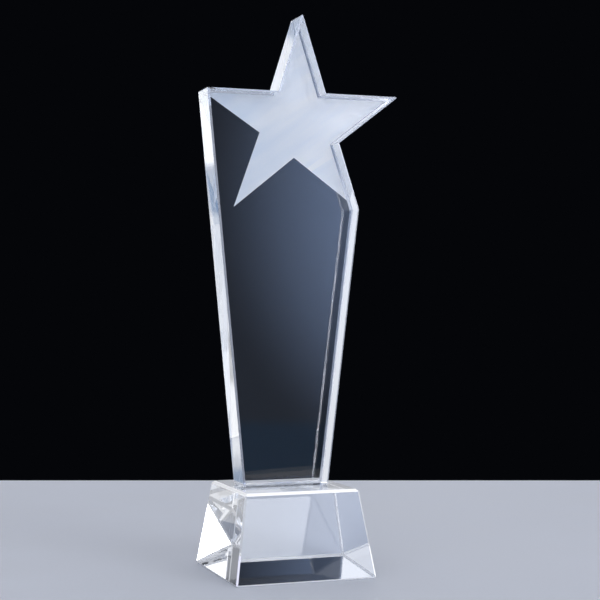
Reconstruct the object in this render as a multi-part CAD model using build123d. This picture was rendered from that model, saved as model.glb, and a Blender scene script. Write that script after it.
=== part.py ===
"""Star trophy: a clear crystal slab, cut to a five-pointed star at its head and with a star
sandblasted into its back face, glued upright on a square crystal block with leaning sides.

Millimetres, +Z up. The slab's wide front face looks along -Y. The origin is the centre of the
block's underside, so the trophy stands on z = 0.
"""
from build123d import *
from math import sqrt
import os

# ---- Base block ------------------------------------------------------------------------------
base_foot = 80.0          # side of the square underside, before its rim bevel
base_top = 65.0           # side of the square top, before its bevel
base_height = 48.0
base_bevel = 1.5          # bevel round the top
corner_bevel = 0.9        # narrower bevel down the four corners
base_rim = 0.9            # bevel round the underside

# ---- Glue between block and slab -------------------------------------------------------------
glue_thick = 0.2          # cured adhesive film

# ---- Slab: widths from the block's centre line, heights up from the slab's foot ---------------
slab_thick = 20.0
slab_bevel = 1.0          # polished bevel round both faces and under the foot
tip_round = 0.5           # the sharp corners are ground blunt to this radius
foot_left = 26.3
foot_right = 23.2
shoulder_left = 47.2      # where the slab's left side cuts off the star's left arm
star_axis = 8.0           # the star stands this far right of the block's centre line
top_height = 264.0        # top point, before it is blunted
neck_half = 14.1          # half the top point's width where it meets the arms
arm_height = 219.6        # level upper edges of the two arms
arm_out = 58.0            # right arm's tip, from the star's axis, before it is blunted
armpit_out = 22.0         # notch between the right arm and leg, from the star's axis
armpit_height = 192.0
knee_out = 34.0           # where the right leg runs into the slab's side, from the star's axis
knee_height = 155.1

# ---- Sandblasted star in the back face --------------------------------------------------------
frost_depth = 0.3
frost_margin = 0.1        # polished strip between the frosting and the bevel round the face
waist_out = 21.4          # notch between the left arm and leg, left of the star's axis
waist_height = 197.5
leg_out = 36.5            # left leg's tip, left of the star's axis
leg_height = 155.4
crotch_out = 1.0          # notch between the legs, left of the star's axis
crotch_height = 184.0
hem_height = 158.6        # where the right leg's lower edge leaves the slab, level with the knee

seat = base_height + glue_thick     # height of the slab's foot


def bar(right_side, turn):
    """A long level bar, turned about Z, whose section is that right side and its mirror image."""
    left_side = [(-across, up) for across, up in reversed(right_side)]
    section = Plane.XZ * make_face(Polyline(*right_side, *left_side, close=True))
    return Rot(0, 0, turn) * extrude(section, base_foot, both=True)


def base_block():
    """A square block with four leaning sides: two bars with its side view, crossed, give the
    sides, the top bevel and the rim, and two across its diagonals cut the corner bevels."""
    foot = base_foot / 2
    top = base_top / 2
    lean = (foot - top) / base_height
    side = [
        (foot - base_rim, 0),
        (foot - lean * base_rim, base_rim),
        (top + lean * base_bevel, base_height - base_bevel),
        (top - base_bevel, base_height),
    ]
    corner = [
        (sqrt(2) * (foot - corner_bevel / 2), 0),
        (sqrt(2) * (top - corner_bevel / 2), base_height),
    ]
    return bar(side, 0) & bar(side, 90) & bar(corner, 45) & bar(corner, 135)


def glue_film():
    """The adhesive fills the joint under the flat of the foot, inside its bevels."""
    width = foot_left + foot_right - 2 * slab_bevel
    depth = slab_thick - 2 * slab_bevel
    middle = (foot_right - foot_left) / 2
    return extrude(Pos(middle, 0, base_height) * Rectangle(width, depth), glue_thick)


def upright(corners):
    """A flat shape in the slab's middle plane, from its corners as (across, up from the foot)."""
    return Plane.XZ * Pos(0, seat) * make_face(Polyline(*corners, close=True))


def slab_outline():
    """The slab's front view, anticlockwise from the left end of its foot."""
    return upright([
        (-foot_left, 0),
        (foot_right, 0),
        (star_axis + knee_out, knee_height),
        (star_axis + armpit_out, armpit_height),
        (star_axis + arm_out, arm_height),
        (star_axis + neck_half, arm_height),
        (star_axis, top_height),
        (star_axis - neck_half, arm_height),
        (-shoulder_left, arm_height),
    ])


def frost_outline(back_face):
    """The sandblasted star: its left arm, waist, legs and crotch are drawn, and everywhere else it
    stops just inside the edge of the slab's bevelled back face."""
    far_right = star_axis + arm_out
    star = upright([
        (-shoulder_left, arm_height),
        (star_axis - waist_out, waist_height),
        (star_axis - leg_out, leg_height),
        (star_axis - crotch_out, crotch_height),
        (star_axis + knee_out, hem_height),
        (far_right, hem_height),
        (far_right, top_height),
        (-shoulder_left, top_height),
    ])
    return Pos(0, slab_thick / 2) * star & offset(back_face, -frost_margin, kind=Kind.TANGENT)


def star_slab():
    """The slab: prism, bevels round both faces and the foot, blunted corners, sunk frosting."""
    slab = extrude(slab_outline(), slab_thick / 2, both=True)
    front, *_, back = slab.faces().filter_by(Axis.Y).sort_by(Axis.Y)
    slab = chamfer(front.edges() + back.edges(), slab_bevel)
    foot_ends = slab.faces().sort_by(Axis.Z)[0].edges().filter_by(Axis.Y)
    slab = chamfer(foot_ends, slab_bevel)
    frost = frost_outline(slab.faces().sort_by(Axis.Y)[-1])
    across = slab.edges().filter_by(Axis.Y).sort_by(Axis.X)
    top = across.sort_by(Axis.Z)[-1]
    slab = fillet([across[0], across[-1], top], tip_round)
    return slab - extrude(frost, frost_depth, dir=(0, -1, 0))


os.makedirs("parts", exist_ok=True)
parts = {"base_block": base_block(), "glue_film": glue_film(), "star_slab": star_slab()}
for name, solid in parts.items():
    export_step(solid, f"parts/{name}.step")
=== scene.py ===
"""Star trophy in clear and sandblasted crystal, on a plain pale table in soft studio light."""
import math

import bpy
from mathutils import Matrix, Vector


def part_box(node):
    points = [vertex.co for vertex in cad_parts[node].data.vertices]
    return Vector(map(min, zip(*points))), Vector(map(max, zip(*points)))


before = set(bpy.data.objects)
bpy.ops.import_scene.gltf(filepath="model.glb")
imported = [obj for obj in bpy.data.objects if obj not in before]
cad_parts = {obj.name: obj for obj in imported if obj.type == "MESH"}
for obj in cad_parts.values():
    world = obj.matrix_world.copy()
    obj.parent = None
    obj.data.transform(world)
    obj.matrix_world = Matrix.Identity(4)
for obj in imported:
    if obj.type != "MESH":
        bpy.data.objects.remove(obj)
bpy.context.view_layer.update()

MM = 0.001


def linear(hex_colour):
    """The linear RGBA of an sRGB colour written as #rrggbb."""
    out = []
    for at in (1, 3, 5):
        c = int(hex_colour[at:at + 2], 16) / 255
        out.append(c / 12.92 if c <= 0.04045 else ((c + 0.055) / 1.055) ** 2.4)
    return (*out, 1.0)


def add(tree, kind, *inputs, named=(), **settings):
    """Adds a shader node with its settings, and its inputs in order or by name, each a value or
    another node's output. Gives back its first output in use."""
    n = tree.nodes.new("ShaderNode" + kind)
    for name, value in settings.items():
        setattr(n, name, value)
    used = [s for s in n.inputs if s.enabled]
    for socket, value in [*zip(used, inputs), *((n.inputs[name], v) for name, v in dict(named).items())]:
        if isinstance(value, bpy.types.NodeSocket):
            tree.links.new(value, socket)
        else:
            socket.default_value = value
    return next(s for s in n.outputs if s.enabled)


def new_material(name):
    m = bpy.data.materials.new(name)
    m.use_nodes = True
    m.node_tree.nodes.clear()
    return m, m.node_tree


def finish(m, shader):
    """The material, with this shader as its surface."""
    out = m.node_tree.nodes.new("ShaderNodeOutputMaterial")
    m.node_tree.links.new(shader, out.inputs["Surface"])
    return m


def surface(t):
    """The place on the surface in metres, its axes, and the axes of its normal without their signs."""
    place = add(t, "TexCoord").node.outputs["Object"]
    normal = add(t, "VectorMath", add(t, "NewGeometry").node.outputs["True Normal"], operation="ABSOLUTE")
    return place, add(t, "SeparateXYZ", place).node.outputs, add(t, "SeparateXYZ", normal).node.outputs


def patches(t, place, across):
    """Soft patches about this far across, from 0 to 1."""
    return add(t, "MapRange", add(t, "TexNoise", place, 1 / across, 2), 0.3, 0.7)


def band(t, value, middle, inner, outer):
    """1 while the value is within inner of the middle, falling to 0 at outer."""
    off = add(t, "Math", add(t, "Math", value, middle, operation="SUBTRACT"), operation="ABSOLUTE")
    return add(t, "MapRange", off, outer, inner, interpolation_type="SMOOTHSTEP")


CRYSTAL_IOR = 1.517
CLEAR, GROUND_WHITE = linear("#f8fbff"), linear("#ffffff")
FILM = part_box("glue_film")
SKIN = 0.01 * MM           # how far from the film's box a face still counts as bonded


def unbonded(t, at, normal):
    """1, but 0 on the film's own faces and the two that it wets: cured adhesive has nearly the
    crystal's index, so nothing shines or mirrors there."""
    bonded = add(t, "Math", normal["Z"], 0.99, operation="GREATER_THAN")
    for axis in range(3):
        middle = (FILM[0][axis] + FILM[1][axis]) / 2
        half = (FILM[1][axis] - FILM[0][axis]) / 2 + SKIN
        inside = add(t, "Math", at[axis], middle, half, operation="COMPARE")
        bonded = add(t, "Math", bonded, inside, operation="MULTIPLY")
    return add(t, "Math", 1.0, bonded, operation="SUBTRACT")


def block_crystal():
    """Optical crystal, cut and polished. Its flats are clear as water. The wheel leaves its narrow
    bevels a faint satin, and the wide one round the top a bright, even white."""
    m, t = new_material("cut_crystal")
    place, at, normal = surface(t)
    # A bevel leans away from every axis; a flat faces nearly along one, even where the block tapers.
    most = add(t, "Math", normal["X"], normal["Y"], operation="MAXIMUM")
    most = add(t, "Math", most, normal["Z"], operation="MAXIMUM")
    satin = add(t, "Math", most, 0.93, operation="LESS_THAN")
    level = add(t, "Math", normal["Z"], 0.5, operation="GREATER_THAN")
    ground = add(t, "Math", satin, level, operation="MULTIPLY")
    # The grit's marks are about 0.05 mm; they are drawn thirty times as coarse so that they show.
    grit = patches(t, place, 1.5 * MM)
    white = add(t, "Mix", satin, 0.0, add(t, "MapRange", grit, 0, 1, 0.15, 0.25))
    white = add(t, "Mix", ground, white, add(t, "MapRange", grit, 0, 1, 0.8, 0.9))
    rough = add(t, "Mix", satin, 0.0, add(t, "MapRange", grit, 0, 1, 0.07, 0.13))
    rough = add(t, "Mix", ground, rough, add(t, "MapRange", grit, 0, 1, 0.3, 0.5))
    return finish(m, add(t, "BsdfPrincipled", named={
        "Base Color": add(t, "Mix", satin, CLEAR, GROUND_WHITE, data_type="RGBA"),
        "Roughness": rough,
        "IOR": CRYSTAL_IOR,
        "Transmission Weight": add(t, "Math", 1.0, white, operation="SUBTRACT"),
        "Alpha": unbonded(t, at, normal),
    }))


# How far the slab's back face and the floor of the star sunk into it are behind the slab's middle.
SLAB_BACK, STAR_FLOOR = 10 * MM, 9.7 * MM


def slab_crystal():
    """Optical crystal, polished, with a star sandblasted into its back: a soft matt white, a little
    uneven where the nozzle's slanting passes overlap, with a fine grain, and with painted light on it:
    whiter towards the right, and a painted caustic streak below the right armpit."""
    m, t = new_material("sandblasted_crystal")
    place, at, normal = surface(t)
    # The bevels lean halfway between the faces and the sides.
    satin = add(t, "Math", normal["Y"], 0.7, 0.2, operation="COMPARE")
    # The sunk star's floor and its low wall are blasted.
    wall = add(t, "Math", normal["Y"], 0.5, operation="LESS_THAN")
    floor = add(t, "Math", normal["Y"], 0.9, operation="GREATER_THAN")
    sunk = add(t, "Math", at["Y"], (SLAB_BACK + STAR_FLOOR) / 2, operation="LESS_THAN")
    floor = add(t, "Math", floor, sunk, operation="MULTIPLY")
    behind = add(t, "Math", at["Y"], STAR_FLOOR - 0.05 * MM, operation="GREATER_THAN")
    blasted = add(t, "Math", wall, floor, operation="MAXIMUM")
    blasted = add(t, "Math", blasted, behind, operation="MULTIPLY")
    # The blasted grain is about 0.1 mm; it is drawn eight times as coarse so that it shows.
    grain = patches(t, place, 0.8 * MM)
    slanting = add(t, "Mapping", named={"Vector": place, "Rotation": (0, math.radians(-34), 0),
                                        "Scale": (60 * MM, 1, 10 * MM)}, vector_type="TEXTURE")
    passes = patches(t, slanting, 1)
    # A painted caustic: a white streak below the right armpit, where light through the notch falls on the
    # frost. Its place is counted in patches, along the passes and across them.
    along, _, over = add(t, "SeparateXYZ", slanting).node.outputs
    painted_caustic_streak = add(t, "Math", band(t, along, 2.52, 0.14, 0.28), band(t, over, 17.8, 0.05, 0.2),
                 operation="MULTIPLY")
    # Painted light and shade: the frost is bluish grey at the left and whiter towards the right, seen from
    # the front.
    cover_and_painted_light = add(t, "MapRange", at["X"], -35 * MM, 45 * MM, -0.05, 0.75)
    for part, share in ((passes, 0.45), (grain, 0.1), (painted_caustic_streak, 0.9)):
        cover_and_painted_light = add(t, "Math", part, share, cover_and_painted_light, operation="MULTIPLY_ADD")
    # The frost's colour carries the painted light and the painted caustic as well as the blasting's
    # unevenness.
    frost_and_painted_light = add(t, "Mix", cover_and_painted_light, linear("#d6e4f6"), linear("#ffffff"), data_type="RGBA")
    # Grinding marks, drawn thirty times as coarse as they are.
    grit = patches(t, place, 1.5 * MM)
    # The upper bevels get far less white than the others: painted shade by which way they face.
    level = add(t, "Math", normal["Z"], 0.5, operation="GREATER_THAN")
    satin_white_with_painted_shade = add(t, "MapRange", level, 0, 1, 0.3, 0.07)
    satin_white_with_painted_shade = add(t, "Math", satin_white_with_painted_shade, add(t, "MapRange", grit, 0, 1, 0.9, 1.1), operation="MULTIPLY")
    white = add(t, "Mix", satin, 0.0, satin_white_with_painted_shade)
    white = add(t, "Mix", blasted, white, add(t, "MapRange", cover_and_painted_light, 0, 1, 0.93, 1.0))
    rough = add(t, "Mix", satin, 0.0, add(t, "MapRange", grit, 0, 1, 0.08, 0.1))
    rough = add(t, "Mix", blasted, rough, add(t, "MapRange", grain, 0, 1, 0.5, 0.7))
    colour = add(t, "Mix", satin, CLEAR, linear("#dfe7f9"), data_type="RGBA")
    return finish(m, add(t, "BsdfPrincipled", named={
        "Base Color": add(t, "Mix", blasted, colour, frost_and_painted_light, data_type="RGBA"),
        "Roughness": rough,
        "IOR": CRYSTAL_IOR,
        "Transmission Weight": add(t, "Math", 1.0, white, operation="SUBTRACT"),
        "Alpha": unbonded(t, at, normal),
    }))


def cured_adhesive():
    """Ultraviolet-cured acrylic adhesive: clear through its thickness, and a thin grey line with a few
    bright spots where it meets the air round the joint."""
    m, t = new_material("cured_adhesive")
    place, at, normal = surface(t)
    spots = patches(t, place, 3 * MM)
    return finish(m, add(t, "BsdfPrincipled", named={
        "Base Color": add(t, "Mix", spots, linear("#8d939c"), linear("#d5d9df"), data_type="RGBA"),
        "Roughness": add(t, "MapRange", spots, 0, 1, 0.1, 0.3),
        "IOR": 1.5,
        "Transmission Weight": add(t, "MapRange", spots, 0, 1, 0.9, 0.6),
        "Alpha": unbonded(t, at, normal),
    }))


def table_laminate():
    """Matt pale laminate: nearly even, with a faint cloudiness in its colour and its sheen."""
    m, t = new_material("pale_laminate")
    place = add(t, "TexCoord").node.outputs["Object"]
    cloudy = patches(t, place, 60 * MM)
    tone = add(t, "Mix", 0.4, cloudy, patches(t, place, 2 * MM))
    return finish(m, add(t, "BsdfPrincipled", named={
        "Base Color": add(t, "Mix", tone, linear("#b1b6c1"), linear("#b7bcc7"), data_type="RGBA"),
        "Roughness": add(t, "MapRange", cloudy, 0, 1, 0.5, 0.6),
    }))


MATERIALS = {"base_block": block_crystal(), "glue_film": cured_adhesive(), "star_slab": slab_crystal()}
for node, m in MATERIALS.items():
    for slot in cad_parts[node].material_slots:
        slot.material = m

# ---- Camera ---------------------------------------------------------------------------------------

CAMERA_PLACE = (-0.25842, -0.7536, 0.14551)
HEADING = math.radians(19.59)      # turned to the right of facing the front squarely
TILT = math.radians(90.44)         # from straight down, so a little above level

scene = bpy.context.scene
lens = bpy.data.cameras.new("camera")
lens.lens = 85
lens.sensor_width = 36
scene.camera = bpy.data.objects.new("camera", lens)
scene.camera.location = CAMERA_PLACE
scene.camera.rotation_euler = (TILT, 0, -HEADING)
scene.collection.objects.link(scene.camera)
scene.view_settings.view_transform = "Standard"
# Light is mirrored many times inside the crystal before it leaves.
scene.cycles.max_bounces = 32
scene.cycles.glossy_bounces = 32
scene.cycles.transmission_bounces = 32

# ---- Table ----------------------------------------------------------------------------------------

TABLE_WIDTH = 2.2
TABLE_FRONT, TABLE_BACK = -0.4, 0.422      # metres along the camera's heading
TABLE_GAP = 0.2 * MM               # keeps the table clear of the block's underside
away = Vector((math.sin(HEADING), math.cos(HEADING), 0))
across = Vector((away.y, -away.x, 0))
corners = [across * side * TABLE_WIDTH / 2 + away * depth - Vector((0, 0, TABLE_GAP))
           for side, depth in ((-1, TABLE_FRONT), (1, TABLE_FRONT), (1, TABLE_BACK), (-1, TABLE_BACK))]
mesh = bpy.data.meshes.new("table")
mesh.from_pydata(corners, [], [(0, 1, 2, 3)])
mesh.materials.append(table_laminate())
table = bpy.data.objects.new("table", mesh)
scene.collection.objects.link(table)

# ---- Studio: a white tent with panels hung in it, which mirrored and scattered rays see, and black cloth
# ---- that is seen straight on and straight through the crystal

world = bpy.data.worlds.new("studio")
scene.world = world
world.use_nodes = True
t = world.node_tree
t.nodes.clear()
sky = add(t, "TexCoord").node.outputs["Generated"]
x, y, z = add(t, "SeparateXYZ", sky).node.outputs
# Degrees round from straight behind the trophy, towards its right, and degrees above level.
turn = add(t, "Math", add(t, "Math", x, y, operation="ARCTAN2"), 180 / math.pi, operation="MULTIPLY")
lift = add(t, "Math", add(t, "Math", z, operation="ARCSINE"), 180 / math.pi, operation="MULTIPLY")
SOFT_EDGE = 0.25                   # degrees that a panel's edge is soft to each side


def near(azimuth, elevation, inner, outer):
    """1 within inner degrees of a direction, falling to 0 at outer degrees."""
    a, e = math.radians(azimuth), math.radians(elevation)
    towards = (math.sin(a) * math.cos(e), math.cos(a) * math.cos(e), math.sin(e))
    dot = add(t, "VectorMath", sky, towards, operation="DOT_PRODUCT").node.outputs["Value"]
    angle = add(t, "Math", add(t, "Math", dot, 1.0, operation="MINIMUM"), operation="ARCCOSINE")
    return add(t, "MapRange", angle, math.radians(outer), math.radians(inner),
               interpolation_type="SMOOTHSTEP")


def panel(left, right, bottom, top):
    """1 inside a panel given by its edges in degrees, with a narrow soft edge."""
    spans = []
    for angle, low, high in ((turn, left, right), (lift, bottom, top)):
        half = (high - low) / 2
        spans.append(band(t, angle, (low + high) / 2, half - SOFT_EDGE, half + SOFT_EDGE))
    return add(t, "Math", *spans, operation="MULTIPLY")


TENT, CLOTH = linear("#f8f9fe"), linear("#050609")
# The tent is brighter in front.
tent = add(t, "MapRange", near(185, 20, 30, 80), 0, 1, 0.7, 1.5)
tent = add(t, "VectorMath", TENT[:3], named={"Scale": tent}, operation="SCALE")
for place, colour, strength in (
    # In front, to the right.
    (panel(164.4, 180, 4.5, 18), "#c8cfdd", 1.0),
    (panel(150, 164.4, -12, 14), "#788398", 1.0),
    (panel(150, 169, -12, -4.5), "#6b88ac", 1.0),
    # Behind, about from left to right.
    (panel(-20, -15, 2.75, 9), "#ffffff", 2.5),
    (panel(-20, -15, 0.8, 2.75), "#5f7ea3", 1.0),
    (panel(-20, -15, -4.6, 0.8), "#ffffff", 1.2),
    (panel(-20, -15, -12, -4.6), "#ffffff", 1.9),
    (panel(-26, -20.2, -10, 10), "#f8f9fe", 0.88),
    (panel(-10.5, -1, -3, 10), "#4a5568", 1.0),
    (panel(13, 22, 5.2, 6), "#ffffff", 1.0),
    (panel(13, 22, 3, 4.65), "#6c84a0", 1.0),
    (panel(22.6, 28, 3, 13), "#ffffff", 1.5),
    (panel(36, 48, -6, 8), "#969bb8", 1.0),
    (panel(36, 48, 8, 17), "#dcdcf6", 1.2),
    (panel(66, 74.5, -1, 18), "#ffffff", 1.8),
    # Behind and higher.
    (near(-8, 20, 4, 7), "#ffffff", 1.6),
    (panel(-14, -5, 19.9, 27), "#93a7c2", 1.0),
    # In front: a dark card, and a strip light that the slab's right edge mirrors as a fine line. A piece
    # of the strip is covered, because the block would mirror it in its low front.
    (panel(-163, -156, -4, 10), "#20242c", 1.0),
    (panel(-174.5, -171, -6, 8.8), "#f4f8ff", 14.0),
    (panel(-172.4, -170.5, 1.9, 3.7), "#f8f9fe", 0.7),
):
    colour = [c * strength for c in linear(colour)[:3]] + [1.0]
    tent = add(t, "Mix", place, tent, colour, data_type="RGBA")
# A soft bluish glow in front, to the right.
glow = add(t, "Math", near(150, 5, 7, 14.5), 3.3, operation="MULTIPLY")
glow = add(t, "VectorMath", linear("#a8c0ee")[:3], named={"Scale": glow}, operation="SCALE")
tent = add(t, "VectorMath", tent, glow, operation="ADD")

# Black cloth is what the camera sees and what rays see that have only been refracted. A card of it behind
# the trophy is seen by every ray.
path = add(t, "LightPath").node.outputs
straight = add(t, "Math", path["Is Transmission Ray"], path["Is Singular Ray"], operation="MULTIPLY")
for turned in ("Glossy Depth", "Diffuse Depth"):
    never = add(t, "Math", path[turned], 0.5, operation="LESS_THAN")
    straight = add(t, "Math", straight, never, operation="MULTIPLY")
dark = add(t, "Math", straight, path["Is Camera Ray"], operation="MAXIMUM")
dark = add(t, "Math", dark, panel(13, 22, 8.4, 13), operation="MAXIMUM")
seen = add(t, "Mix", dark, tent, CLOTH, data_type="RGBA")
out = t.nodes.new("ShaderNodeOutputWorld")
t.links.new(add(t, "Background", seen, 1.0), out.inputs["Surface"])

# One square softbox in front, high and to the right, faces the trophy.
KEY_PLACE, KEY_AIM = Vector((0.877, -1.797, 1.15)), Vector((0, 0, 0.15))
KEY_SIZE, KEY_RADIANCE = 0.8, 4.0
lamp = bpy.data.lights.new("key_softbox", "AREA")
lamp.size = KEY_SIZE
lamp.energy = KEY_RADIANCE * math.pi * KEY_SIZE ** 2
key = bpy.data.objects.new("key_softbox", lamp)
key.location = KEY_PLACE
key.rotation_euler = (KEY_AIM - KEY_PLACE).to_track_quat("-Z", "Y").to_euler()
key.visible_camera = False
scene.collection.objects.link(key)
